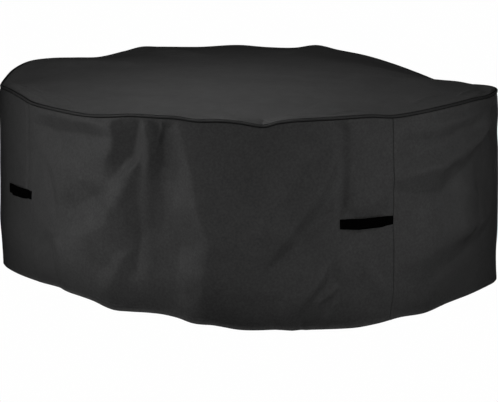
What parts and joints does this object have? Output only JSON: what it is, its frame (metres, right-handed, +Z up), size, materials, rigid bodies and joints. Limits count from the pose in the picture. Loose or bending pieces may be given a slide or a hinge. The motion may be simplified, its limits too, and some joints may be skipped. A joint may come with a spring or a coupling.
{
  "type": "patio furniture cover",
  "caption": "Round fitted outdoor cover: slightly domed top, corded rim seam, hanging panelled skirt with an uneven hem, and arched webbing handles.",
  "frame": {"origin": "middle of the underside of the top, where the covered furniture holds the cover up", "axes": "+Z up, -Y to the front of the cover, +X to its right as seen from the front"},
  "size_m": [1.8719, 1.8655, 0.7834],
  "materials": {
    "cloth": "matt coated weave",
    "seam": "matt coated weave over a cord",
    "webbing": "matt woven tape"
  },
  "bodies": {
    "root": {"top_panel": "cloth", "rim_cord": "seam", "skirt_front": "cloth", "skirt_right": "cloth", "skirt_back": "cloth", "skirt_left": "cloth", "handle_front": "webbing", "handle_right": "webbing", "handle_back": "webbing", "handle_left": "webbing"}
  },
  "joints": []
}
